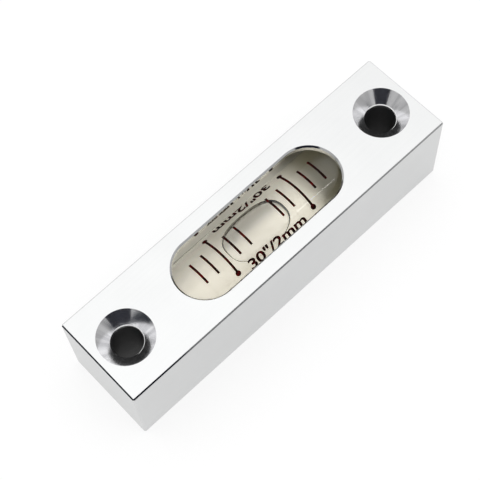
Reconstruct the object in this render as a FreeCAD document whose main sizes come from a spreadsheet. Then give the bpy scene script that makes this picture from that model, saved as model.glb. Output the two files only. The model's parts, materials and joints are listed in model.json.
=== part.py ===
import FreeCAD, Part
import Sketcher
import math
import os

# Precision machinist level: a milled aluminium bar with a ground glass vial bedded in it.
#
# Frame: millimetres, +Z up, origin at the centre of the base face, +X along the bar.
# The vial lies along X under the window, close below the roof that the window is cut through.

SIZES = {
    # housing
    "block_length": 60.0,
    "block_width": 15.0,
    "block_height": 15.0,
    "edge_break": 0.2,
    "window_length": 29.5,
    "window_width": 9.5,
    "window_chamfer": 0.25,
    "roof": 1.0,                 # metal left between the top face and the vial pocket
    "side_wall": 1.5,            # metal left beside the pocket
    "pocket_corner": 3.0,
    # screw holes
    "hole_inset": 5.25,          # from each end of the bar to the hole's centre
    "hole_diameter": 4.6,
    "hole_web": 1.95,            # metal left between a hole and the pocket
    "countersink_diameter": 8.3,
    "countersink_angle": 90.0,
    # vial: a glass tube whose bore is ground to a barrel
    "vial_end_gap": 1.25,        # vial's end to the pocket's, when the vial is in the middle
    "vial_side_gap": 0.3,
    "vial_top_gap": 0.1,
    "vial_end_bevel": 1.5,
    "vial_offset": 0.45,         # the vial was set this far from the middle of the bar
    "vial_roll": 4.0,            # and its scale was turned this many degrees away from straight up
    "glass_wall": 1.2,
    "seal_length": 2.0,          # solid glass at each end of the bore
    "bore_end_bevel": 1.0,
    "rated_travel": 2.0,         # the bubble moves this far ...
    "rated_tilt": 30.0,          # ... for this many seconds of arc
    # bubble
    "bubble_length": 11.1,
    "bubble_width": 6.2,
    "bubble_depth": 1.8,         # below the crown of the bore
    "bubble_bevel": 0.25,
    "bubble_offset": 0.85,       # towards -X from the middle of the scale
    "film": 0.08,                # spirit left between the bubble and the glass
    # graduations: ink on the vial's outer surface
    "division": 2.1,
    "tick_width": 0.36,
    "tick_ink": 0.03,
    "short_tick_arc": 40.0,
    "long_tick_arc": 76.0,
    "dot_diameter": 0.85,
    # cast bed
    "bed_below_axis": 0.8,       # the bed's surface to the vial's axis
    "bed_recess": 0.4,           # the bed ends this far inside the base face
}
SHORT_TICKS = (-5.5, -4.5, -2.5, -1.5, 1.5, 2.5, 4.5, 5.5)   # divisions from the scale's middle
LONG_TICKS = (-3.5, 3.5)
ARC_SECONDS = 3600.0             # in one degree


class Dim:
    """A number together with the spreadsheet expression that gives it."""

    def __init__(self, value, text):
        self.value = value
        self.text = text

    def __add__(self, other):
        return join(self, "+", other)

    def __sub__(self, other):
        return join(self, "-", other)

    def __mul__(self, other):
        return join(self, "*", other)

    def __truediv__(self, other):
        return join(self, "/", other)

    def __neg__(self):
        return self * -1.0


def join(left, sign, right):
    """One step of arithmetic, done on the values and written out in the expression."""
    if not isinstance(right, Dim):
        right = Dim(float(right), f"({float(right)})")
    value = {
        "+": left.value + right.value,
        "-": left.value - right.value,
        "*": left.value * right.value,
        "/": left.value / right.value if right.value else 0.0,
    }[sign]
    return Dim(value, f"({left.text} {sign} {right.text})")


def tangent(degrees):
    """Tangent of an angle in plain degrees."""
    return Dim(math.tan(math.radians(degrees.value)), f"tan({degrees.text} * 1deg)")


doc = FreeCAD.newDocument("machinist_level")
sheet = doc.addObject("Spreadsheet::Sheet", "Sizes")
size = {}
for row, (alias, number) in enumerate(SIZES.items(), start=1):
    sheet.set(f"A{row}", alias.replace("_", " "))
    sheet.set(f"B{row}", str(number))
    sheet.setAlias(f"B{row}", alias)
    size[alias] = Dim(number, f"<<Sizes>>.{alias}")
doc.recompute()

# Places and sizes that several pieces share: the pocket is what the bar leaves between its holes
# and walls, and the vial is what fits in the pocket.
half_length = size["block_length"] / 2
half_width = size["block_width"] / 2
hole_radius = size["hole_diameter"] / 2
hole_place = half_length - size["hole_inset"]
pocket_reach = hole_place - hole_radius - size["hole_web"]
pocket_half_width = half_width - size["side_wall"]
vial_reach = pocket_reach - size["vial_end_gap"]
vial_radius = pocket_half_width - size["vial_side_gap"]
bore_reach = vial_reach - size["seal_length"]
bore_radius = vial_radius - size["glass_wall"]
roof_level = size["block_height"] - size["roof"]
axis_level = roof_level - size["vial_top_gap"] - vial_radius
# The bore's long radius, from the rated travel and tilt, and how far the bore narrows at its ends.
barrel_radius = size["rated_travel"] / tangent(size["rated_tilt"] / ARC_SECONDS)
barrel_reach = bore_reach - size["bore_end_bevel"]
barrel_sag = barrel_reach * barrel_reach / (barrel_radius * 2)


# ---------------------------------------------------------------- helpers

def bind(target, **properties):
    """Tie properties of an object to the spreadsheet."""
    for name, dim in properties.items():
        target.setExpression(name.replace("__", "."), dim.text)


def place(target, x, z, lean=None):
    """Put an object on the vial's plane, turned about X by lean degrees."""
    if lean is not None:
        turn = FreeCAD.Rotation(FreeCAD.Vector(1, 0, 0), lean.value)
        target.Placement = FreeCAD.Placement(FreeCAD.Vector(), turn)
        bind(target, Placement__Rotation__Angle=lean)
    bind(target, Placement__Base__x=x, Placement__Base__z=z)


def new_body(label):
    body = doc.addObject("PartDesign::Body", label)
    body.Label = label
    return body


def new_sketch(body, name, role="XY_Plane", level=None):
    """A sketch on one of the body's origin planes, raised to a level if one is given."""
    sketch = body.newObject("Sketcher::SketchObject", name)
    planes = [item for item in body.Origin.OriginFeatures if item.Role == role]
    sketch.AttachmentSupport = [(planes[0], "")]
    sketch.MapMode = "FlatFace"
    if level is not None:
        bind(sketch, AttachmentOffset__Base__z=level)
    return sketch


def constrain(sketch, dim, *constraint):
    """A dimensional constraint tied to the spreadsheet."""
    index = sketch.addConstraint(Sketcher.Constraint(*constraint, dim.value))
    sketch.setExpression(f"Constraints[{index}]", dim.text)


def draw_rounded(sketch, reach, half_width, corner):
    """A rectangle centred on the origin, with round corners."""
    a, b, r = (reach - corner).value, (half_width - corner).value, corner.value
    up, quarter = FreeCAD.Vector(0, 0, 1), math.pi / 2
    # Arcs 0 to 3 anticlockwise from the first quadrant, each with the line that follows it.
    turns = [(a, b), (-a, b), (-a, -b), (a, -b)]
    for index, (x, y) in enumerate(turns):
        circle = Part.Circle(FreeCAD.Vector(x, y, 0), up, r)
        sketch.addGeometry(Part.ArcOfCircle(circle, index * quarter, (index + 1) * quarter))
    for start, end in (
        ((a, b + r), (-a, b + r)), ((-a - r, b), (-a - r, -b)),
        ((-a, -b - r), (a, -b - r)), ((a + r, -b), (a + r, b)),
    ):
        sketch.addGeometry(Part.LineSegment(FreeCAD.Vector(*start, 0), FreeCAD.Vector(*end, 0)))
    for index in range(4):
        following = (index + 1) % 4
        sketch.addConstraint(Sketcher.Constraint("Tangent", index, 2, 4 + index, 1))
        sketch.addConstraint(Sketcher.Constraint("Tangent", 4 + index, 2, following, 1))
        if index:
            sketch.addConstraint(Sketcher.Constraint("Equal", 0, index))
    sketch.addConstraint(Sketcher.Constraint("Horizontal", 4))
    sketch.addConstraint(Sketcher.Constraint("Vertical", 5))
    sketch.addConstraint(Sketcher.Constraint("Symmetric", 0, 3, 2, 3, -1, 1))
    constrain(sketch, corner, "Radius", 0)
    constrain(sketch, reach - corner, "DistanceX", -1, 1, 0, 3)
    constrain(sketch, half_width - corner, "DistanceY", -1, 1, 0, 3)


def draw_oblong(sketch, length, width):
    """A slot outline with full round ends, centred on the origin and long in X."""
    reach = (length - width) / 2
    a, r = reach.value, width.value / 2
    up, quarter = FreeCAD.Vector(0, 0, 1), math.pi / 2
    right = Part.ArcOfCircle(Part.Circle(FreeCAD.Vector(a, 0, 0), up, r), -quarter, quarter)
    left = Part.ArcOfCircle(Part.Circle(FreeCAD.Vector(-a, 0, 0), up, r), quarter, 3 * quarter)
    top = Part.LineSegment(FreeCAD.Vector(a, r, 0), FreeCAD.Vector(-a, r, 0))
    bottom = Part.LineSegment(FreeCAD.Vector(-a, -r, 0), FreeCAD.Vector(a, -r, 0))
    for curve in (right, top, left, bottom):
        sketch.addGeometry(curve)
    for first, second in ((0, 1), (1, 2), (2, 3), (3, 0)):
        sketch.addConstraint(Sketcher.Constraint("Tangent", first, 2, second, 1))
    sketch.addConstraint(Sketcher.Constraint("Equal", 0, 2))
    sketch.addConstraint(Sketcher.Constraint("Symmetric", 0, 3, 2, 3, -1, 1))
    sketch.addConstraint(Sketcher.Constraint("PointOnObject", 0, 3, -1))
    constrain(sketch, width / 2, "Radius", 0)
    constrain(sketch, reach, "DistanceX", -1, 1, 0, 3)


def draw_corners(sketch, corners, barrel_from=None):
    """A closed outline through corners, each held by its two distances from the origin.

    The side that starts at corner number barrel_from is the barrel's long curve.
    """
    count = len(corners)
    points = [FreeCAD.Vector(x.value, y.value, 0) for x, y in corners]
    for index, start in enumerate(points):
        end = points[(index + 1) % count]
        if index == barrel_from:
            crown = FreeCAD.Vector(0, start.y + 2 * barrel_sag.value, 0)
            curve = Part.BSplineCurve([start, crown, end], None, None, False, 2, None, False)
        else:
            curve = Part.LineSegment(start, end)
        sketch.addGeometry(curve)
    for index, (x, y) in enumerate(corners):
        sketch.addConstraint(Sketcher.Constraint("Coincident", (index - 1) % count, 2, index, 1))
        constrain(sketch, x, "DistanceX", -1, 1, index, 1)
        if y.value == 0:
            sketch.addConstraint(Sketcher.Constraint("PointOnObject", index, 1, -1))
        else:
            constrain(sketch, y, "DistanceY", -1, 1, index, 1)
    if barrel_from is not None:
        # The curve's middle control point stands over the bore's middle, twice the sag up.
        sketch.exposeInternalGeometry(barrel_from)
        control = count + 1
        sketch.addConstraint(Sketcher.Constraint("PointOnObject", control, 3, -2))
        height = corners[barrel_from][1] + barrel_sag * 2
        constrain(sketch, height, "DistanceY", -1, 1, control, 3)


def add_feature(body, kind, name, sketch=None):
    feature = body.newObject(f"PartDesign::{kind}", name)
    if sketch is not None:
        feature.Profile = sketch
    return feature


def revolve(body, name, sketch, angle=None):
    """Turn a sketch about the X axis, all round or evenly to both sides of the sketch."""
    feature = add_feature(body, "Revolution", name, sketch)
    feature.ReferenceAxis = (sketch, ["H_Axis"])
    feature.Midplane = True
    if angle is None:
        feature.Angle = 360.0
    else:
        bind(feature, Angle=angle)
    return feature


def edges_where(feature, test):
    """Names of the edges of a feature whose bounding boxes pass a test."""
    edges = feature.Shape.Edges
    return [f"Edge{i}" for i, edge in enumerate(edges, start=1) if test(edge.BoundBox)]


def dress(body, kind, name, base, test, amount):
    """Chamfer or fillet the edges of a feature that pass a test."""
    feature = body.newObject(f"PartDesign::{kind}", name)
    feature.Base = (base, edges_where(base, test))
    bind(feature, **{"Size" if kind == "Chamfer" else "Radius": amount})
    doc.recompute()
    return feature


def near(a, b):
    return abs(a - b) < 1e-6


# ---------------------------------------------------------------- housing

def make_housing():
    """The bar: milled block, vial pocket from below, window from above, two screw holes."""
    body = new_body("housing")
    outline = new_sketch(body, "block_outline")
    draw_corners(outline, [
        (-half_length, -half_width), (half_length, -half_width),
        (half_length, half_width), (-half_length, half_width),
    ])
    block = add_feature(body, "Pad", "block", outline)
    bind(block, Length=size["block_height"])
    doc.recompute()
    broken = dress(body, "Chamfer", "broken_edges", block, lambda box: True, size["edge_break"])

    outline = new_sketch(body, "pocket_outline")
    draw_rounded(outline, pocket_reach, pocket_half_width, size["pocket_corner"])
    pocket = add_feature(body, "Pocket", "vial_pocket", outline)
    pocket.Reversed = True
    bind(pocket, Length=roof_level)

    outline = new_sketch(body, "window_outline", level=size["block_height"])
    draw_oblong(outline, size["window_length"], size["window_width"])
    window = add_feature(body, "Pocket", "window", outline)
    bind(window, Length=size["roof"] + size["vial_top_gap"])
    doc.recompute()

    top = SIZES["block_height"]
    reach = (SIZES["window_length"] + SIZES["window_chamfer"]) / 2

    def on_window_rim(box):
        return near(box.ZMin, top) and near(box.ZMax, top) and max(box.XMax, -box.XMin) < reach

    rim = dress(body, "Chamfer", "window_rim", window, on_window_rim, size["window_chamfer"])

    mouth_reach = pocket_reach.value + SIZES["edge_break"]

    def on_pocket_mouth(box):
        inside = max(box.XMax, -box.XMin) < mouth_reach
        return near(box.ZMin, 0) and near(box.ZMax, 0) and inside

    mouth = dress(body, "Chamfer", "pocket_mouth", rim, on_pocket_mouth, size["edge_break"])

    centres = new_sketch(body, "hole_centres", level=size["block_height"])
    for side in (-1, 1):
        centre = FreeCAD.Vector(side * hole_place.value, 0, 0)
        circle = Part.Circle(centre, FreeCAD.Vector(0, 0, 1), hole_radius.value)
        index = centres.addGeometry(circle)
        constrain(centres, hole_radius, "Radius", index)
        constrain(centres, hole_place * side, "DistanceX", -1, 1, index, 3)
        centres.addConstraint(Sketcher.Constraint("PointOnObject", index, 3, -1))
    doc.recompute()
    holes = add_feature(body, "Hole", "screw_holes", centres)
    holes.DepthType = "ThroughAll"
    holes.HoleCutType = "Countersink"
    holes.HoleCutCustomValues = True
    bind(
        holes,
        Diameter=size["hole_diameter"],
        HoleCutDiameter=size["countersink_diameter"],
        HoleCutCountersinkAngle=size["countersink_angle"],
    )
    body.Tip = holes
    doc.recompute()
    check_cut(block, broken, "edge chamfers")
    check_cut(broken, pocket, "vial pocket")
    check_cut(pocket, window, "window")
    check_cut(window, rim, "window rim")
    check_cut(rim, mouth, "pocket mouth")
    check_cut(mouth, holes, "screw holes")
    return body


def check_cut(before, after, what):
    """Stop if a cut took nothing away."""
    if not after.Shape.Volume < before.Shape.Volume - 1e-3:
        raise RuntimeError(f"{what} removed no metal")


# ---------------------------------------------------------------- vial

def make_tube_form(name, reach, radius, bevel, barrel=False):
    """A solid turned about the vial's axis, with bevelled ends; its side may be a barrel."""
    body = new_body(name)
    zero = reach - reach
    outline = new_sketch(body, f"{name}_outline", "XZ_Plane")
    corners = [
        (-reach, zero), (reach, zero), (reach, radius - bevel),
        (reach - bevel, radius), (bevel - reach, radius), (-reach, radius - bevel),
    ]
    draw_corners(outline, corners, barrel_from=3 if barrel else None)
    body.Tip = revolve(body, f"{name}_turned", outline)
    place(body, size["vial_offset"], axis_level)
    return body


def cut(label, base, tool):
    result = doc.addObject("Part::Cut", label)
    result.Label = label
    result.Base = base
    result.Tool = tool
    return result


def common(name, base, tool):
    result = doc.addObject("Part::Common", name)
    result.Base = base
    result.Tool = tool
    return result


# ---------------------------------------------------------------- bubble and spirit

def make_bubble_form(name, film):
    """A flattened air bubble under the crown of the bore, kept a film's width off the glass."""
    body = new_body(f"{name}_slab")
    level = bore_radius - size["bubble_depth"] + film
    outline = new_sketch(body, f"{name}_outline", level=level)
    draw_oblong(outline, size["bubble_length"] - film * 2, size["bubble_width"] - film * 2)
    slab = add_feature(body, "Pad", f"{name}_pad", outline)
    bind(slab, Length=size["bubble_depth"])
    doc.recompute()
    body.Tip = dress(
        body, "Chamfer", f"{name}_underside", slab,
        lambda box: near(box.ZMax, level.value), size["bubble_bevel"],
    )
    x = size["vial_offset"] - size["bubble_offset"]
    place(body, x, axis_level)
    crown = doc.addObject("Part::Cylinder", f"{name}_crown")
    crown.Placement.Rotation = FreeCAD.Rotation(FreeCAD.Vector(0, 1, 0), 90)
    bind(crown, Radius=bore_radius - barrel_sag - film, Height=size["bubble_length"])
    place(crown, x - size["bubble_length"] / 2, axis_level)
    return common(name, body, crown)


# ---------------------------------------------------------------- graduations

def make_line(name, position, arc):
    """One inked line: a thin band round part of the vial, square to its axis."""
    body = new_body(name)
    half = size["tick_width"] / 2
    outer = vial_radius + size["tick_ink"]
    outline = new_sketch(body, f"{name}_outline", "XZ_Plane")
    draw_corners(outline, [(-half, vial_radius), (half, vial_radius), (half, outer), (-half, outer)])
    body.Tip = revolve(body, f"{name}_band", outline, arc)
    place(body, position, axis_level, size["vial_roll"] * -1)
    return body


def make_short_tick(label, division):
    make_line(label, size["vial_offset"] + size["division"] * division, size["short_tick_arc"])


def make_long_tick(label, division, vial_blank):
    """A long line with a dot on each end; each dot is the tip of a spoke from the vial's axis."""
    position = size["vial_offset"] + size["division"] * division
    pieces = [make_line(f"{label}_line", position, size["long_tick_arc"])]
    for side in (-1, 1):
        spoke = doc.addObject("Part::Cylinder", f"{label}_spoke")
        bind(spoke, Radius=size["dot_diameter"] / 2, Height=vial_radius + size["tick_ink"])
        place(spoke, position, axis_level, size["long_tick_arc"] / 2 * side - size["vial_roll"])
        pieces.append(spoke)
    whole = doc.addObject("Part::MultiFuse", f"{label}_whole")
    whole.Shapes = pieces
    return cut(label, whole, vial_blank)


# ---------------------------------------------------------------- bed

def make_bed_fill():
    """What was poured into the pocket round the lower part of the vial."""
    body = new_body("bed_fill")
    outline = new_sketch(body, "bed_outline", level=size["bed_recess"])
    draw_rounded(outline, pocket_reach, pocket_half_width, size["pocket_corner"])
    fill = add_feature(body, "Pad", "bed_pour", outline)
    bind(fill, Length=axis_level - size["bed_below_axis"] - size["bed_recess"])
    return body


# ---------------------------------------------------------------- the whole level

make_housing()
vial_blank = make_tube_form("vial_blank", vial_reach, vial_radius, size["vial_end_bevel"])
bore_end_radius = bore_radius - barrel_sag
bore_form = make_tube_form("bore_form", bore_reach, bore_end_radius, size["bore_end_bevel"], True)
cut("vial", vial_blank, bore_form)
bubble = make_bubble_form("bubble", size["film"])
cut("spirit", bore_form, make_bubble_form("bubble_space", size["film"] * 0))
cut("plaster_bed", make_bed_fill(), vial_blank)
for number, division in enumerate(SHORT_TICKS, start=1):
    make_short_tick(f"short_tick_{number}", division)
for number, division in enumerate(LONG_TICKS, start=1):
    make_long_tick(f"long_tick_{number}", division, vial_blank)
doc.recompute()

nodes = ["housing", "vial", "spirit", "bubble", "plaster_bed"]
nodes += [f"short_tick_{number}" for number in range(1, len(SHORT_TICKS) + 1)]
nodes += [f"long_tick_{number}" for number in range(1, len(LONG_TICKS) + 1)]

for item in doc.Objects:
    if "Invalid" in item.State or "Error" in item.State:
        raise RuntimeError(f"{item.Label} is {item.State}")

os.makedirs("parts", exist_ok=True)
for label in nodes:
    shape = doc.getObjectsByLabel(label)[0].Shape
    if shape.isNull() or not shape.isValid() or len(shape.Solids) != 1:
        raise RuntimeError(f"{label} is not one valid solid")
for label in nodes:
    shape = doc.getObjectsByLabel(label)[0].Shape
    shape.exportStep(f"parts/{label}.step")
    box = shape.BoundBox
    print(f"{label}: {shape.Volume:.2f} mm3, X {box.XMin:.2f} {box.XMax:.2f},"
          f" Y {box.YMin:.2f} {box.YMax:.2f}, Z {box.ZMin:.2f} {box.ZMax:.2f}")
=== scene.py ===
# %% [markdown]
# # A machinist level
# A small metal bar with a glass vial let into it. Machinists stand it on a machine bed, or screw it
# down, and read the bubble against fine lines on the glass. The solids come from the CAD frame.
# This lesson gives them their finish: the milled bar, the ground glass, the spirit with its bubble,
# the cast bed under the vial and the ink on top of it.

# %% Load the frame
import json
import math

import bmesh
import bpy
from mathutils import Matrix, Vector


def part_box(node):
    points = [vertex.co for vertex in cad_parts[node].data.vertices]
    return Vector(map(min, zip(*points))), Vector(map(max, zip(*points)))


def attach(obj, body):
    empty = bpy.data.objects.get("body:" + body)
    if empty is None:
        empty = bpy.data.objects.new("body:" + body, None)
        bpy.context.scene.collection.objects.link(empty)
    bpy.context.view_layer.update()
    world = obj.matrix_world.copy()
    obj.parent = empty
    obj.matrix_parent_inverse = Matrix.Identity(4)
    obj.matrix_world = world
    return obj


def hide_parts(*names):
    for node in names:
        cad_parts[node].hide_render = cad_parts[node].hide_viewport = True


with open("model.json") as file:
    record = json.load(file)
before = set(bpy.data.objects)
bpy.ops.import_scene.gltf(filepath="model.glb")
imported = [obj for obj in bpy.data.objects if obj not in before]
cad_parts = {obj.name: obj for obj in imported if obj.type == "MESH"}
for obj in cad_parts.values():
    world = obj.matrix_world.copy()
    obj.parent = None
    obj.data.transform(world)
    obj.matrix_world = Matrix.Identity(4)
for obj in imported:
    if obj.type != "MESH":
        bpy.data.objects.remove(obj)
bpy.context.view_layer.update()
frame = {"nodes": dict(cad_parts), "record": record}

MM = 0.001

# %% [markdown]
# ## Sizes
# Whatever the solids can tell is read from them, so that the dressed pieces stay in their places.
# Only what no box can tell, such as the window in the bar's top, is written down here.

# %% Sizes of the real pieces
bar_low, bar_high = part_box("housing")
vial_low, vial_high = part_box("vial")
spirit_low, spirit_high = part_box("spirit")
bubble_low, bubble_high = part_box("bubble")
bed_low, bed_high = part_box("plaster_bed")
_, tick_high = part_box("short_tick_1")

axis_z = (vial_low.z + vial_high.z) / 2
vial_radius = (vial_high.z - vial_low.z) / 2
vial_middle = (vial_low.x + vial_high.x) / 2
bore_radius = (spirit_high.z - spirit_low.z) / 2
ink_depth = tick_high.z - vial_high.z
screws = [m for m in frame["record"]["mounts"] if m["name"] == "screw_holes"][0]["dims"]
hole_x = screws["spacing_x_mm"] * MM / 2
hole_radius = screws["hole_r_mm"] * MM

EDGE_BREAK = 0.2 * MM
WINDOW_LENGTH = 29.5 * MM
WINDOW_WIDTH = 9.5 * MM
WINDOW_CHAMFER = 0.25 * MM
POCKET_CORNER = 3.0 * MM
ROOF = 1.0 * MM
COUNTERSINK_RADIUS = 4.15 * MM
VIAL_ROLL = math.radians(4.0)    # the scale was turned this far away from straight up
HAIR = 0.02 * MM                 # keeps surfaces apart that would otherwise share a place
BAR = "bar"                      # the body that everything but the bubble rides on
for name, length in {"vial radius": vial_radius, "axis height": axis_z, "ink": ink_depth}.items():
    print(f"{name}: {length / MM:.3f} mm")

# %% [markdown]
# ## Camera
# A long lens from high up on the left: the bar runs from the lower left to the upper right, a
# little rolled, as when the camera is held by hand over a table.

# %% Place the camera
camera_data = bpy.data.cameras.new("camera")
camera_data.sensor_width = 36.0
camera_data.lens = 96.42
camera_data.clip_start = 0.01
camera = bpy.data.objects.new("camera", camera_data)
camera.location = Vector((-49.62, -58.32, 178.24)) * MM
camera.rotation_euler = [math.radians(angle) for angle in (24.241, 2.287, -43.391)]
bpy.context.scene.collection.objects.link(camera)
bpy.context.scene.camera = camera
bpy.context.scene.view_settings.view_transform = "Standard"
print("camera", round(camera.location.length / MM), "mm from the bar")

# %% [markdown]
# ## Arithmetic on nodes
# A procedural finish is a formula, and a formula reads best as one. This class wraps an output
# socket, so that `1 - mask * 0.5` adds the Math nodes by itself. Any other node comes from `add`.

# %% A socket that can be calculated with
class Signal:
    """One output of a node tree. Arithmetic on it adds Math nodes to the tree."""

    def __init__(self, tree, socket=None):
        self.tree = tree
        self.socket = socket

    def add(self, kind, settings=None, sockets=None, output=0):
        """Add a node of any kind: its settings first, then values or links for its sockets."""
        node = self.tree.nodes.new(kind)
        for name, value in (settings or {}).items():
            setattr(node, name, value)
        for name, value in (sockets or {}).items():
            if isinstance(value, Signal):
                self.tree.links.new(value.socket, node.inputs[name])
            else:
                node.inputs[name].default_value = value
        return Signal(self.tree, node.outputs[output] if len(node.outputs) else None)

    def math(self, operation, first, second=0.0):
        return self.add("ShaderNodeMath", {"operation": operation}, {0: first, 1: second})

    def rise(self, low, high):
        """0 below low, 1 above high, and a smooth step between them."""
        sockets = {"Value": self, "From Min": low, "From Max": high}
        return self.add("ShaderNodeMapRange", {"interpolation_type": "SMOOTHSTEP"}, sockets)

    def __add__(self, other):
        return self.math("ADD", self, other)

    def __radd__(self, other):
        return self.math("ADD", other, self)

    def __sub__(self, other):
        return self.math("SUBTRACT", self, other)

    def __rsub__(self, other):
        return self.math("SUBTRACT", other, self)

    def __mul__(self, other):
        return self.math("MULTIPLY", self, other)

    def __rmul__(self, other):
        return self.math("MULTIPLY", other, self)

    def __truediv__(self, other):
        return self.math("DIVIDE", self, other)

    def __rtruediv__(self, other):
        return self.math("DIVIDE", other, self)


def new_finish(name):
    """A material with an empty node tree, and the tree as a Signal to build on."""
    material = bpy.data.materials.new(name)
    material.use_nodes = True
    material.node_tree.nodes.clear()
    return material, Signal(material.node_tree)


def grey(level):
    """A colour with no hue."""
    return (level, level, level, 1.0)


def blend_colours(tree, factor, first, second):
    """A colour between two colours."""
    sockets = {0: factor, 6: first, 7: second}
    return tree.add("ShaderNodeMix", {"data_type": "RGBA"}, sockets, output=2)


def coordinates(tree):
    """The Object coordinates, whole and as three numbers."""
    place = tree.add("ShaderNodeTexCoord", output="Object")
    parts = [tree.add("ShaderNodeSeparateXYZ", None, {0: place}, output=i) for i in range(3)]
    return place, parts


print("node arithmetic is ready")

# %% [markdown]
# ## Studio
# The bar lies on a white sweep under one wide soft light, brightest straight above. Bare metal
# shows its surroundings, so they matter. Low down on the camera's side the room is dark, which
# draws the fine dark lines along the broken edges. A short bright slot, like the gap between two
# blinds, draws the thin highlight on the glass. The camera itself sees a plain white background.

# %% Light the studio
ROOM_HEADING = math.radians(-140.0)
ROOM_COLOUR = (0.012, 0.016, 0.026, 1.0)
SKY_LOW, SKY_HIGH = grey(0.6), grey(1.6)
SLOT_LEAN = math.radians(29.0)   # the slot's line leans this far from straight above, towards -Y
SLOT_COLOUR = grey(8.0)

world = bpy.data.worlds.new("studio")
world.use_nodes = True
world.node_tree.nodes.clear()
bpy.context.scene.world = world
studio = Signal(world.node_tree)
heading = studio.add("ShaderNodeTexCoord", output="Generated")
east, north, up = [studio.add("ShaderNodeSeparateXYZ", None, {0: heading}, output=i) for i in range(3)]

towards_room = east * math.cos(ROOM_HEADING) + north * math.sin(ROOM_HEADING)
room = towards_room.rise(0.14, 0.42) * (1 - up.rise(0.27, 0.32))
off_slot = studio.math("ABSOLUTE", north * math.cos(SLOT_LEAN) + up * math.sin(SLOT_LEAN))
slot = (1 - off_slot.rise(0.014, 0.026)) * east.rise(0.295, 0.315) * (1 - east.rise(0.37, 0.42))

plain_sky = blend_colours(studio, up.rise(0.50, 0.94), SKY_LOW, SKY_HIGH)
sky = blend_colours(studio, slot, plain_sky, SLOT_COLOUR)
surroundings = blend_colours(studio, room, sky, ROOM_COLOUR)
camera_ray = studio.add("ShaderNodeLightPath", output="Is Camera Ray")
shown = blend_colours(studio, camera_ray, surroundings, grey(1.0))
backdrop = studio.add("ShaderNodeBackground", None, {"Color": shown, "Strength": 1.0})
studio.add("ShaderNodeOutputWorld", None, {"Surface": backdrop})
print("the room is dark round heading", round(math.degrees(ROOM_HEADING)), "degrees")

# %% [markdown]
# The sweep is white paper. Where the camera or a reflection sees it, most of its white is a glow
# and only a share of it takes shade, so that the bar keeps a soft shadow on a white ground.

# %% Lay the sweep
def to_prop(bm, name, material):
    """Turn a bmesh into a piece of the studio, which is no part of the level."""
    mesh = bpy.data.meshes.new(name)
    bm.to_mesh(mesh)
    bm.free()
    mesh.materials.append(material)
    prop = bpy.data.objects.new(name, mesh)
    bpy.context.scene.collection.objects.link(prop)
    return prop


sweep, tree = new_finish("white sweep")
camera_ray = tree.add("ShaderNodeLightPath", output="Is Camera Ray")
glossy_ray = tree.add("ShaderNodeLightPath", output="Is Glossy Ray")
paper = tree.add("ShaderNodeBsdfDiffuse", None, {"Color": grey(0.85)})
shaded = tree.add("ShaderNodeBsdfDiffuse", None, {"Color": grey(0.24)})
glow = tree.add("ShaderNodeEmission", None, {"Color": grey(1.0), "Strength": 0.77})
pale = tree.add("ShaderNodeAddShader", None, {0: shaded, 1: glow})
mixed = tree.add("ShaderNodeMixShader", None, {0: camera_ray + glossy_ray, 1: paper, 2: pale})
tree.add("ShaderNodeOutputMaterial", None, {"Surface": mixed})

SWEEP_REACH = 2.0                # metres from the middle to each edge
bm = bmesh.new()
bmesh.ops.create_grid(bm, x_segments=1, y_segments=1, size=SWEEP_REACH)
bmesh.ops.translate(bm, vec=(0, 0, bar_low.z - HAIR), verts=bm.verts)
floor = to_prop(bm, "floor", sweep)
print("sweep:", 2 * SWEEP_REACH, "m wide")

# %% [markdown]
# The person behind the camera is dark too, and near. A card stands in for them, right under the
# camera. It is switched off for every ray but a reflected one, so it shows only in metal and
# glass, as the dark wedges in the countersinks and the short black arc on the window's edge.

# %% Stand a dark card under the camera
CARD_WIDTH = 104.0 * MM
CARD_HEIGHT = 130.0 * MM
CARD_SHIFT = 8.0 * MM            # to the right of the camera's foot

cloth, tree = new_finish("dark cloth")
shade = tree.add("ShaderNodeBsdfDiffuse", None, {"Color": (0.012, 0.014, 0.026, 1.0)})
tree.add("ShaderNodeOutputMaterial", None, {"Surface": shade})

camera_heading = math.atan2(camera.location.y, camera.location.x)
foot = Vector((camera.location.x, camera.location.y, bar_low.z + CARD_HEIGHT / 2))
foot += Vector((-math.sin(camera_heading), math.cos(camera_heading), 0)) * CARD_SHIFT
upright = Matrix.Rotation(camera_heading + math.pi / 2, 3, "Z") @ Matrix.Rotation(math.pi / 2, 3, "X")
bm = bmesh.new()
bmesh.ops.create_grid(bm, x_segments=1, y_segments=1, size=0.5)
bmesh.ops.scale(bm, vec=(CARD_WIDTH, CARD_HEIGHT, 1), verts=bm.verts)
bmesh.ops.rotate(bm, cent=(0, 0, 0), matrix=upright, verts=bm.verts)
bmesh.ops.translate(bm, vec=foot, verts=bm.verts)
card = to_prop(bm, "dark_card", cloth)
card.visible_camera = False
card.visible_shadow = False
card.visible_diffuse = False
card.visible_transmission = False
print("card at", [round(c / MM) for c in foot], "mm")

# %% [markdown]
# ## Turned and milled forms
# Almost everything here is a profile spun round an axis. A slot is the same thing pulled apart:
# spin the profile, then move its left half to the left and its right half to the right. The flat
# sides appear by themselves. The first vertex starts half a step off the axis, so that no vertex
# lies on the line where the halves part.

# %% Helpers for spun forms
CREASE = 30.0                    # degrees: where faces meet at more than this, the edge is sharp


def soften(points, corner, amount, steps=4):
    """Replace one corner of a profile by a small curve."""
    before, at, after = (Vector(points[corner + i]) for i in (-1, 0, 1))
    start = at + (before - at).normalized() * amount
    end = at + (after - at).normalized() * amount
    curve = []
    for i in range(steps + 1):
        t = i / steps
        curve.append(tuple(start * (1 - t) ** 2 + at * (2 * t * (1 - t)) + end * t ** 2))
    return points[:corner] + curve + points[corner + 1:]


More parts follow.
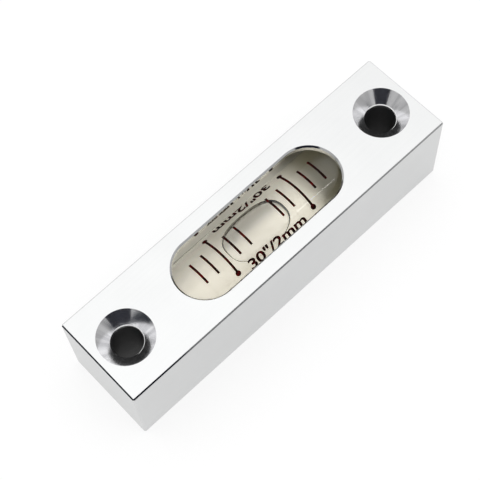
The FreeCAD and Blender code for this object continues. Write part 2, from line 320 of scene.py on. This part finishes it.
def spin_profile(bm, points, axis, centre, steps):
    """Spin a chain of (radius, height) points all the way round an axis."""
    side = Vector((1, 0, 0)) if axis.z else Vector((0, 0, 1))
    side.rotate(Matrix.Rotation(math.pi / steps, 3, axis))
    verts = [bm.verts.new(centre + side * radius + axis * height) for radius, height in points]
    edges = [bm.edges.new(pair) for pair in zip(verts, verts[1:])]
    bmesh.ops.spin(
        bm, geom=verts + edges, cent=centre, axis=axis, dvec=(0, 0, 0),
        angle=2 * math.pi, steps=steps, use_merge=True, use_duplicate=False,
    )


def pull_apart(bm, reach_x, reach_y):
    """Move the quarters of a spun form away from each other."""
    for vert in bm.verts:
        vert.co.x += math.copysign(reach_x, vert.co.x)
        vert.co.y += math.copysign(reach_y, vert.co.y)


def close_up(bm):
    """Merge doubles, close open ends with one face each and turn all faces outwards."""
    bmesh.ops.remove_doubles(bm, verts=bm.verts, dist=0.001 * MM)
    open_edges = [edge for edge in bm.edges if edge.is_boundary]
    if open_edges:
        bmesh.ops.holes_fill(bm, edges=open_edges)
    bmesh.ops.recalc_face_normals(bm, faces=bm.faces)


def to_piece(bm, name, crease=CREASE):
    """Turn a bmesh into an object with smooth faces and sharp creases."""
    mesh = bpy.data.meshes.new(name)
    bm.to_mesh(mesh)
    bm.free()
    mesh.polygons.foreach_set("use_smooth", [True] * len(mesh.polygons))
    mesh.set_sharp_from_angle(angle=math.radians(crease))
    piece = bpy.data.objects.new(name, mesh)
    bpy.context.scene.collection.objects.link(piece)
    return piece


def spun_solid(name, points, reach_x=0.0, reach_y=0.0, at=(0.0, 0.0, 0.0), steps=128):
    """A closed solid: spun about Z, pulled apart, then moved to its place."""
    bm = bmesh.new()
    spin_profile(bm, points, Vector((0, 0, 1)), Vector((0, 0, 0)), steps)
    pull_apart(bm, reach_x, reach_y)
    close_up(bm)
    bmesh.ops.translate(bm, vec=at, verts=bm.verts)
    return to_piece(bm, name)


def carve(piece, cutters):
    """Cut solids out of a piece, then keep its flat faces flat where they meet round ones."""
    for cutter in cutters:
        cut = piece.modifiers.new(cutter.name, "BOOLEAN")
        cut.operation = "DIFFERENCE"
        cut.solver = "EXACT"
        cut.object = cutter
    graph = bpy.context.evaluated_depsgraph_get()
    mesh = bpy.data.meshes.new_from_object(piece.evaluated_get(graph))
    piece.modifiers.clear()
    piece.data = mesh
    for cutter in cutters:
        bpy.data.objects.remove(cutter)
    bm = bmesh.new()
    bm.from_mesh(mesh)
    bmesh.ops.remove_doubles(bm, verts=bm.verts, dist=0.0005 * MM)
    bm.to_mesh(mesh)
    bm.free()
    mesh.polygons.foreach_set("use_smooth", [True] * len(mesh.polygons))
    mesh.set_sharp_from_angle(angle=math.radians(CREASE))
    weighted = piece.modifiers.new("flat faces stay flat", "WEIGHTED_NORMAL")
    weighted.keep_sharp = True


def seat(piece, body, slot, *nodes):
    """Let a piece ride on a body and stand for CAD nodes. The slot is not used."""
    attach(piece, body)
    if nodes:
        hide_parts(*nodes)
    print(f"{piece.name}: {len(piece.data.polygons)} faces, stands for {', '.join(nodes) or 'nothing'}")


print("a crease is sharp from", CREASE, "degrees")

# %% [markdown]
# ## The bar
# The real bar is milled from solid: a block with its edges broken, an oblong window through the
# top, a deeper pocket from below for the vial, and two countersunk screw holes. The lesson makes it
# the same way, with a bevelled block and four cutters.

# %% Mill the bar
bm = bmesh.new()
bmesh.ops.create_cube(bm, size=1.0)
bmesh.ops.scale(bm, vec=bar_high - bar_low, verts=bm.verts)
bmesh.ops.translate(bm, vec=(bar_low + bar_high) / 2, verts=bm.verts)
bmesh.ops.bevel(
    bm, geom=list(bm.edges), offset=EDGE_BREAK, segments=1, profile=0.5,
    affect="EDGES", material=-1,
)
bar = to_piece(bm, "milled_bar")
print("block:", [round(side / MM, 2) for side in bar_high - bar_low], "mm")

# %% [markdown]
# Every cutter runs on past the face that it breaks through, because two surfaces in one plane
# confuse a Boolean. Where a cutter flares, the flare goes on past the face at the same angle.

# %% Cut the window, the pocket and the screw holes
PAST = 1.0 * MM                  # how far a cutter runs past the metal
SEAT_ROUND = 0.14 * MM           # where a countersink turns into its hole

top = bar_high.z
half_width = WINDOW_WIDTH / 2
window_reach = (WINDOW_LENGTH - WINDOW_WIDTH) / 2
window_profile = [
    (half_width, top - ROOF - PAST), (half_width, top - WINDOW_CHAMFER),
    (half_width + WINDOW_CHAMFER + PAST, top + PAST),
]
window_cutter = spun_solid("window", window_profile, window_reach)

pocket_profile = [
    (POCKET_CORNER + EDGE_BREAK + PAST, bar_low.z - PAST), (POCKET_CORNER, bar_low.z + EDGE_BREAK),
    (POCKET_CORNER, top - ROOF),
]
pocket_cutter = spun_solid(
    "pocket", pocket_profile, bed_high.x - POCKET_CORNER, bed_high.y - POCKET_CORNER,
)

cone_depth = COUNTERSINK_RADIUS - hole_radius
hole_profile = [
    (hole_radius, bar_low.z - PAST), (hole_radius, top - cone_depth),
    (COUNTERSINK_RADIUS + PAST, top + PAST),
]
hole_profile = soften(hole_profile, 1, SEAT_ROUND)
hole_cutters = [
    spun_solid(f"hole_{number}", hole_profile, at=(side * hole_x, 0, 0))
    for number, side in enumerate((-1, 1), start=1)
]
carve(bar, [window_cutter, pocket_cutter] + hole_cutters)
seat(bar, BAR, "bar", "housing")

# %% [markdown]
# ## Bare metal
# Milled aluminium is bright and slightly uneven: fine lines along the feed, where the cutter's
# marks catch the light. The countersinks are turned and smoother, so their lines run round the
# hole. Where each meets its hole, a thin lip on the right is painted white and not metallic, a
# painted highlight. The drilled walls are rough, and from a little below the cone down they are
# painted nearly black, painted shade in the holes. One material covers them all, so it first has
# to know where it is: each mask below is 1 on its own faces and 0 elsewhere.

# %% Find the faces of the bar
BLUR = 0.02 * MM                 # half the width of the border between two masks
LIP = 0.11 * MM                  # how wide the bright lip is
UNSHADED_BORE = 0.35 * MM          # how far below the cone the wall of a hole is still bright

metal, tree = new_finish("milled aluminium")
place, (x, y, z) = coordinates(tree)
beside_x, beside_y = tree.math("ABSOLUTE", x), tree.math("ABSOLUTE", y)

cone_bottom = top - cone_depth
drill_shade_top = cone_bottom - UNSHADED_BORE
across = beside_x - hole_x
from_hole = tree.math("SQRT", across * across + y * y)
in_cone = 1 - from_hole.rise(COUNTERSINK_RADIUS - BLUR, COUNTERSINK_RADIUS + BLUR)
# painted shade: from a little below the cone down, the drilled walls are painted nearly black
in_shaded_drill = 1 - from_hole.rise(hole_radius + 0.005 * MM, hole_radius + 0.03 * MM)
in_shaded_drill = in_shaded_drill * (1 - z.rise(drill_shade_top - 0.1 * MM, drill_shade_top))

right_half = (across / from_hole * tree.math("SIGN", x)).rise(-0.25, 0.15)
# painted highlight: a white, not metallic ring on the right half of each lip
lip_highlight = z.rise(cone_bottom - 0.08 * MM, cone_bottom - 0.02 * MM)
lip_highlight = lip_highlight * (1 - from_hole.rise(hole_radius + LIP, hole_radius + 1.3 * LIP)) * right_half

past = tree.math("MAXIMUM", beside_x - window_reach, 0.0)
from_window = tree.math("SQRT", past * past + y * y)
window_edge = half_width + WINDOW_CHAMFER
in_window = 1 - from_window.rise(window_edge, window_edge + 2 * BLUR)
past_side = tree.math("MAXIMUM", beside_y - bar_high.y, beside_x - bar_high.x)
on_edge = past_side.rise(-EDGE_BREAK, -0.9 * EDGE_BREAK)
on_edge = on_edge * z.rise(top - EDGE_BREAK, top - 0.9 * EDGE_BREAK)
print("drilled walls start", round((top - drill_shade_top) / MM, 2), "mm below the top")

# %% [markdown]
# The colour is nearly even, but for the painted shade in the holes and the painted highlight on
# the lips. The turned cones have sectors that are a little lighter or darker, from a noise that
# reads only the direction from the hole, so it can't change along a radius.

# %% Finish the bar
RING_PITCH = 0.2 * MM            # between the lines that the turning tool left
METAL_LEVELS = (0.645, 0.65, 0.65)
# the nearly black colour below is painted shade for the drilled walls
DRILL_SHADE = (0.012, 0.012, 0.013, 1.0)
DARK_SECTOR, LIGHT_SECTOR = (0.56, 0.56, 0.57, 1.0), (0.76, 0.76, 0.77, 1.0)

stretched = tree.add("ShaderNodeMapping", None, {0: place, "Scale": (60.0, 1800.0, 1800.0)})
streaks = tree.add("ShaderNodeTexNoise", None, {"Vector": stretched, "Scale": 1.0, "Detail": 4.0})
cloud = tree.add("ShaderNodeTexNoise", None, {"Vector": place, "Scale": 140.0, "Detail": 2.0})
tone = (streaks - 0.5) * 0.06 + (cloud - 0.5) * 0.04
levels = {channel: level + tone for channel, level in enumerate(METAL_LEVELS)}
milled = tree.add("ShaderNodeCombineColor", None, levels)
round_hole = tree.add("ShaderNodeCombineXYZ", None, {0: across / from_hole, 1: y / from_hole})
chatter = tree.add("ShaderNodeTexNoise", None, {"Vector": round_hole, "Scale": 3.2, "Detail": 3.0})
turned = blend_colours(tree, chatter.rise(0.35, 0.65), DARK_SECTOR, LIGHT_SECTOR)
base = blend_colours(tree, in_cone, milled, turned)
# painted shade in the drilled holes
base = blend_colours(tree, in_shaded_drill, base, DRILL_SHADE)
# painted highlight on the lips
base = blend_colours(tree, lip_highlight, base, grey(0.95))

smoother = tree.math("MAXIMUM", in_cone, tree.math("MAXIMUM", in_window, on_edge))
duller = tree.math("MAXIMUM", in_shaded_drill, tree.math("MAXIMUM", lip_highlight, in_cone * 0.04))
rings = tree.math("SINE", from_hole * (2 * math.pi / RING_PITCH))
marks = (1 - in_cone) * streaks + in_cone * rings * 0.2
bump = tree.add("ShaderNodeBump", None, {"Strength": 0.10, "Distance": 0.02 * MM, "Height": marks})
shader = tree.add("ShaderNodeBsdfPrincipled", None, {
    "Base Color": base,
    "Metallic": 1 - duller,
    "Roughness": 0.24 + streaks * 0.14 - smoother * 0.18 + in_shaded_drill * 0.5,
    "Normal": bump,
})
tree.add("ShaderNodeOutputMaterial", None, {"Surface": shader})
bar.data.materials.append(metal)
print("milled aluminium on", bar.name)

# %% [markdown]
# ## The vial
# The vial is a tube of glass, closed at both ends, whose bore is ground to a very slight barrel:
# its long radius is what makes the bubble move a set distance for a set tilt. Light bends at two
# surfaces, from air to glass and from glass to spirit, so the tube is one closed mesh whose inner
# faces have a finish of their own, with the ratio of the two refractive indices.

# %% Draw the vial's profiles
END_ROUND = 1.5 * MM
BORE_BEVEL = 1.0 * MM
BARREL_RADIUS = 13751.0 * MM
BARREL_STEPS = 16

vial_reach = (vial_high.x - vial_low.x) / 2
bore_reach = (spirit_high.x - spirit_low.x) / 2


def tube_profile(reach, radius, end):
    """A cylinder with rounded ends, from one pole to the other."""
    points = [(0.0, -reach), (radius, -reach), (radius, reach), (0.0, reach)]
    points = soften(points, 2, end, 8)
    return soften(points, 1, end, 8)


def barrel_profile(shrink=0.0):
    """The bore: slightly wider in the middle, by the sag of its long radius."""
    reach = bore_reach - shrink
    radius = bore_radius - shrink
    points = [(0.0, -reach), (radius - BORE_BEVEL, -reach)]
    for i in range(BARREL_STEPS + 1):
        x = (2 * i / BARREL_STEPS - 1) * (reach - BORE_BEVEL)
        points.append((radius - x * x / (2 * BARREL_RADIUS), x))
    return points + [(radius - BORE_BEVEL, reach), (0.0, reach)]


sag = (bore_reach - BORE_BEVEL) ** 2 / (2 * BARREL_RADIUS)
print(f"the bore is {sag / MM:.4f} mm less in radius at its ends")

# %% Turn the vial
X_AXIS = Vector((1, 0, 0))
VIAL_STEPS = 256
vial_centre = Vector((vial_middle, 0, axis_z))

bm = bmesh.new()
spin_profile(bm, barrel_profile(), X_AXIS, vial_centre, VIAL_STEPS)
close_up(bm)
bmesh.ops.reverse_faces(bm, faces=bm.faces)
for face in bm.faces:
    face.material_index = 1
inner_faces = len(bm.faces)
outer = bmesh.new()
spin_profile(outer, tube_profile(vial_reach, vial_radius, END_ROUND), X_AXIS, vial_centre, VIAL_STEPS)
close_up(outer)
outer_mesh = bpy.data.meshes.new("vial_outside")
outer.to_mesh(outer_mesh)
outer.free()
bm.from_mesh(outer_mesh)
bpy.data.meshes.remove(outer_mesh)
vial = to_piece(bm, "ground_vial")
print("vial:", inner_faces, "faces in the bore")

# %% [markdown]
# The same kind of surface serves at every border: air to glass, glass to spirit, and spirit to the
# air of the bubble. Only the ratio of the two refractive indices differs.

# %% Finish the vial
GLASS_INDEX = 1.5
SPIRIT_INDEX = 1.36
FAINT_YELLOW = (1.0, 1.0, 0.99, 1.0)


def clear_glass(name, index, tint=grey(1.0)):
    """A smooth refracting surface between two clear substances.

    It bends what is seen through it. Light on its way to or from what lies behind goes straight
    on, which the Light Path node tells by a shadow ray or by a diffuse bounce already made.
    """
    material, tree = new_finish(name)
    glass = tree.add("ShaderNodeBsdfGlass", None, {"Color": tint, "Roughness": 0.0, "IOR": index})
    straight = tree.add("ShaderNodeBsdfTransparent", None, {"Color": grey(1.0)})
    shadow_ray = tree.add("ShaderNodeLightPath", output="Is Shadow Ray")
    bounces = tree.add("ShaderNodeLightPath", output="Diffuse Depth")
    mixed = tree.add("ShaderNodeMixShader", None, {0: shadow_ray + bounces, 1: glass, 2: straight})
    tree.add("ShaderNodeOutputMaterial", None, {"Surface": mixed})
    return material


vial.data.materials.append(clear_glass("vial glass", GLASS_INDEX, FAINT_YELLOW))
vial.data.materials.append(clear_glass("wetted bore", GLASS_INDEX / SPIRIT_INDEX))
seat(vial, BAR, "glass", "vial")

# %% [markdown]
# ## The spirit
# The bore's faces already bend the light on its way into the spirit. The spirit's own surface
# lies a hair inside them and only tints what passes through it.

# %% Fill the vial
bm = bmesh.new()
spin_profile(bm, barrel_profile(HAIR), X_AXIS, vial_centre, VIAL_STEPS)
close_up(bm)
spirit = to_piece(bm, "level_spirit")

tint, tree = new_finish("spirit tint")
shader = tree.add("ShaderNodeBsdfTransparent", None, {"Color": (1.0, 1.0, 0.985, 1.0)})
tree.add("ShaderNodeOutputMaterial", None, {"Surface": shader})
spirit.data.materials.append(tint)
seat(spirit, BAR, "spirit", "spirit")

# %% [markdown]
# ## The bubble
# The bubble presses up against the crown of the bore and spreads along it. From above it is an
# oval with blunt ends, its top follows the glass, and its underside is flat. A sphere gives the
# vertices, and each is moved to where the bubble's surface is at its share of the outline.

# %% Shape the bubble
BLUNTNESS = 2.6                  # 2 would be an ellipse, more is closer to a rectangle
SIDE_DROP = 0.10 * MM            # how far the rounded rim turns down from the glass at the sides
END_DROP = 0.80 * MM             # and at the ends
SIDE_RISE = 0.30 * MM            # the underside is this much higher at the sides
FAR_SHIFT = 0.08 * MM            # the bar leans a little, so the bubble isn't quite on top
TOP_POWER, UNDERSIDE_POWER = 8, 6    # more keeps each face level for longer before the rim
TINY = 1e-6                      # no division by zero at the sphere's poles

bubble_centre = (bubble_low + bubble_high) / 2
half_long = (bubble_high.x - bubble_low.x) / 2
half_wide = (bubble_high.y - bubble_low.y) / 2 - FAR_SHIFT
crown = bubble_high.z - axis_z - HAIR
underside = bubble_low.z - axis_z + HAIR

bm = bmesh.new()
bmesh.ops.create_uvsphere(bm, u_segments=192, v_segments=96, radius=1.0)
for vert in bm.verts:
    u, v, w = vert.co
    share = min(1.0, math.hypot(u, v))
    blunt = share / max(TINY, (abs(u) ** BLUNTNESS + abs(v) ** BLUNTNESS) ** (1 / BLUNTNESS))
    y = v * blunt * half_wide + FAR_SHIFT
    ceiling = math.sqrt(crown ** 2 - y ** 2)
    drop = SIDE_DROP + (END_DROP - SIDE_DROP) * (u / max(TINY, share)) ** 2
    rim = ceiling - drop
    if w >= 0:
        z = rim + drop * math.sqrt(max(0.0, 1 - share ** TOP_POWER))
    else:
        low_level = underside + SIDE_RISE * (v * blunt) ** 2
        z = rim + (low_level - rim) * math.sqrt(max(0.0, 1 - share ** UNDERSIDE_POWER))
    vert.co = Vector((bubble_centre.x + u * blunt * half_long, y, axis_z + z))
bmesh.ops.recalc_face_normals(bm, faces=bm.faces)
bubble = to_piece(bm, "air_bubble", crease=60.0)
bubble.data.materials.append(clear_glass("air in spirit", 1 / SPIRIT_INDEX))
seat(bubble, "bubble", "air", "bubble")

# %% [markdown]
# ## The cast bed
# The vial is bedded in plaster, poured in from below, with a trough where the glass lies in it.

# %% Cast the bed
BED_DROP = 0.8 * MM              # the plaster stops this far below the vial's axis

bed_profile = [(POCKET_CORNER, bed_low.z), (POCKET_CORNER, axis_z - BED_DROP)]
bed = spun_solid("cast_bed", bed_profile, bed_high.x - POCKET_CORNER, bed_high.y - POCKET_CORNER)
bm = bmesh.new()
spin_profile(
    bm, tube_profile(vial_reach + HAIR, vial_radius + HAIR, END_ROUND),
    X_AXIS, vial_centre, VIAL_STEPS,
)
close_up(bm)
carve(bed, [to_piece(bm, "trough")])
print("the trough leaves", len(bed.data.polygons), "faces")

# %% [markdown]
# Towards its ends, most at the right one, the plaster is painted darker and yellower: painted
# shade where the bar's roof keeps the light off it. Light goes back and forth many times between
# white plaster and glass before it comes out again, more often than a render follows it. A faint
# glow on the part under the window makes up for it.

# %% Finish the bed
WHITE_PLASTER, CREAM_PLASTER = (0.95, 0.93, 0.89, 1.0), (0.92, 0.89, 0.83, 1.0)
# the dark olive colour below is painted shade for the plaster under the bar's roof
END_SHADE_COLOUR = (0.50, 0.46, 0.33, 1.0)
PLASTER_GLOW = (0.45, 0.415, 0.355, 1.0)

plaster, tree = new_finish("cast plaster")
place, (x, y, z) = coordinates(tree)
grain = tree.add("ShaderNodeTexNoise", None, {"Vector": place, "Scale": 2600.0, "Detail": 5.0})
blotch = tree.add("ShaderNodeTexNoise", None, {"Vector": place, "Scale": 260.0, "Detail": 3.0})
clean = blend_colours(tree, blotch, WHITE_PLASTER, CREAM_PLASTER)
# painted shade: darker and yellower towards the ends, fully at the right one and half as much at the
# left
painted_end_shade = x.rise(8.0 * MM, 15.0 * MM) + (1 - x.rise(-18.0 * MM, -13.0 * MM)) * 0.5
colour = blend_colours(tree, painted_end_shade, clean, END_SHADE_COLOUR)
under_window = x.rise(-16.5 * MM, -12.5 * MM) * (1 - x.rise(9.0 * MM, 14.0 * MM))
down_side = 1 - tree.math("ABSOLUTE", y).rise(2.0 * MM, 4.6 * MM) * 0.8
glow = blend_colours(tree, under_window * down_side, grey(0.0), PLASTER_GLOW)
bump = tree.add("ShaderNodeBump", None, {"Strength": 0.3, "Distance": 0.05 * MM, "Height": grain})
shader = tree.add("ShaderNodeBsdfPrincipled", None, {
    "Base Color": colour,
    "Roughness": 0.82 + grain * 0.1,
    "Normal": bump,
    "Emission Color": glow,
    "Emission Strength": 1.0,
})
tree.add("ShaderNodeOutputMaterial", None, {"Surface": shader})
bed.data.materials.append(plaster)
seat(bed, BAR, "plaster", "plaster_bed")

# %% [markdown]
# ## Ink
# The lines are printed in a dark red ink that looks almost black where it is thick.

# %% Ink the scale
THICK_INK = (0.010, 0.002, 0.001, 1.0)
THIN_INK = (0.10, 0.003, 0.004, 1.0)

ink, tree = new_finish("dark red ink")
place, _ = coordinates(tree)
speck = tree.add("ShaderNodeTexNoise", None, {"Vector": place, "Scale": 1900.0, "Detail": 3.0})
shader = tree.add("ShaderNodeBsdfPrincipled", None, {
    "Base Color": blend_colours(tree, speck.rise(0.45, 0.75), THICK_INK, THIN_INK),
    "Roughness": 0.45 + speck * 0.2,
    "Specular IOR Level": 0.05,
})
tree.add("ShaderNodeOutputMaterial", None, {"Surface": shader})
tick_nodes = [name for name in frame["nodes"] if "tick" in name]
for name in tick_nodes:
    node = frame["nodes"][name]
    node.data.materials.clear()
    node.data.materials.append(ink)
print("ink on", len(tick_nodes), "lines")

# %% [markdown]
# ## The value
# Beside the lines stands what one division means, in seconds of arc for 2 mm of travel, once for
# each side. It is made flat, cut into narrow strips so that it can bend, and laid round the glass.

# %% Set the value in flat letters
CAP_HEIGHT = 1.66 * MM
VALUE_LENGTH = 10.75 * MM
STRIP = 0.12 * MM                # how wide the strips are that the letters are cut into

text = bpy.data.curves.new("value", "FONT")
text.body = '30"/2mm'
text.resolution_u = 6
text.offset = 0.026              # bolder than the plain letters
text_object = bpy.data.objects.new("value", text)
bpy.context.scene.collection.objects.link(text_object)
bpy.context.view_layer.update()
graph = bpy.context.evaluated_depsgraph_get()
flat = bpy.data.meshes.new_from_object(text_object.evaluated_get(graph))
bpy.data.objects.remove(text_object)
print("flat value:", len(flat.polygons), "faces")

# %% Lay the value round the glass
VALUE_ANGLE = math.radians(41.3)     # from the scale's middle line to the middle of the letters


def lay_value(name, side):
    """One copy of the value, wrapped round the vial: side is 1 for the near one, -1 for the far."""
    bm = bmesh.new()
    bm.from_mesh(flat)
    bmesh.ops.remove_doubles(bm, verts=bm.verts, dist=1e-5)
    low = Vector([min(v.co[i] for v in bm.verts) for i in range(2)])
    high = Vector([max(v.co[i] for v in bm.verts) for i in range(2)])
    bmesh.ops.translate(bm, vec=(-(low.x + high.x) / 2, -(low.y + high.y) / 2, 0), verts=bm.verts)
    tall, wide = high.y - low.y, high.x - low.x
    bmesh.ops.scale(bm, vec=(VALUE_LENGTH / wide, CAP_HEIGHT / tall, 1), verts=bm.verts)
    cuts = math.ceil(CAP_HEIGHT / 2 / STRIP)
    for i in range(-cuts, cuts + 1):
        everything = bm.verts[:] + bm.edges[:] + bm.faces[:]
        bmesh.ops.bisect_plane(bm, geom=everything, plane_co=(0, i * STRIP, 0), plane_no=(0, 1, 0))
    shell = bmesh.ops.extrude_face_region(bm, geom=bm.faces[:])
    raised = [item for item in shell["geom"] if isinstance(item, bmesh.types.BMVert)]
    bmesh.ops.translate(bm, vec=(0, 0, ink_depth), verts=raised)
    for vert in bm.verts:
        along, around, lift = vert.co
        angle = -VIAL_ROLL + side * (VALUE_ANGLE - around / vial_radius)
        radius = vial_radius + lift
        x = vial_middle + side * along
        vert.co = Vector((x, -radius * math.sin(angle), axis_z + radius * math.cos(angle)))
    bmesh.ops.recalc_face_normals(bm, faces=bm.faces)
    piece = to_piece(bm, name)
    piece.data.materials.append(ink)
    seat(piece, BAR, "ink")


lay_value("value_near", 1)
lay_value("value_far", -1)
